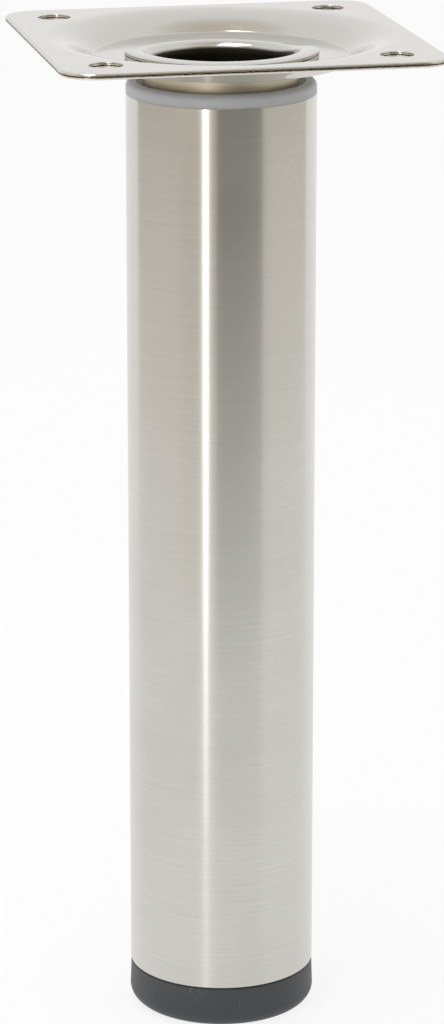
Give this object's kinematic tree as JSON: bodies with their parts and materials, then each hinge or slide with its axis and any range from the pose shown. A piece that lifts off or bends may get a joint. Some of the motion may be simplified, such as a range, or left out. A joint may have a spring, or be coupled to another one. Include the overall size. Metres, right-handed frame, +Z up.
{
  "type": "height adjustable table leg",
  "caption": "Round brushed steel furniture leg with a dished square mounting plate screwed into its top and a plastic foot that screws out to adjust the height.",
  "frame": {"origin": "middle of the foot's underside, on the floor", "axes": "+Z up along the leg, X and Y along the sides of the mounting plate"},
  "size_m": [0.08, 0.08, 0.2147],
  "materials": {
    "plated_steel": "pressed sheet steel, bright nickel plated",
    "brushed_stainless": "stainless tube, brushed round its girth",
    "grey_plastic": "moulded grey polypropylene",
    "zinc_steel": "zinc plated steel",
    "charcoal_plastic": "moulded charcoal plastic, lightly scuffed"
  },
  "bodies": {
    "leg": {"leg_tube": "brushed_stainless", "top_insert": "grey_plastic", "mounting_plate": "plated_steel", "bottom_insert": "grey_plastic", "spindle_nut": "zinc_steel"},
    "spindle": {"foot_spindle": "zinc_steel"},
    "foot": {"foot": "charcoal_plastic"}
  },
  "joints": [
    {"name": "foot_travel", "type": "slide", "parent": "leg", "child": "spindle", "axis": [0, 0, -1], "range_m": [0, 0.0201]},
    {"name": "foot_turn", "type": "hinge", "parent": "spindle", "child": "foot", "pos_m": [0, 0, 0], "axis": [0, 0, -1], "range_deg": [0, 4800]}
  ],
  "couplings": [
    {"joint": "foot_travel", "follows": "foot_turn", "m_per_rad": 0.00023873}
  ]
}
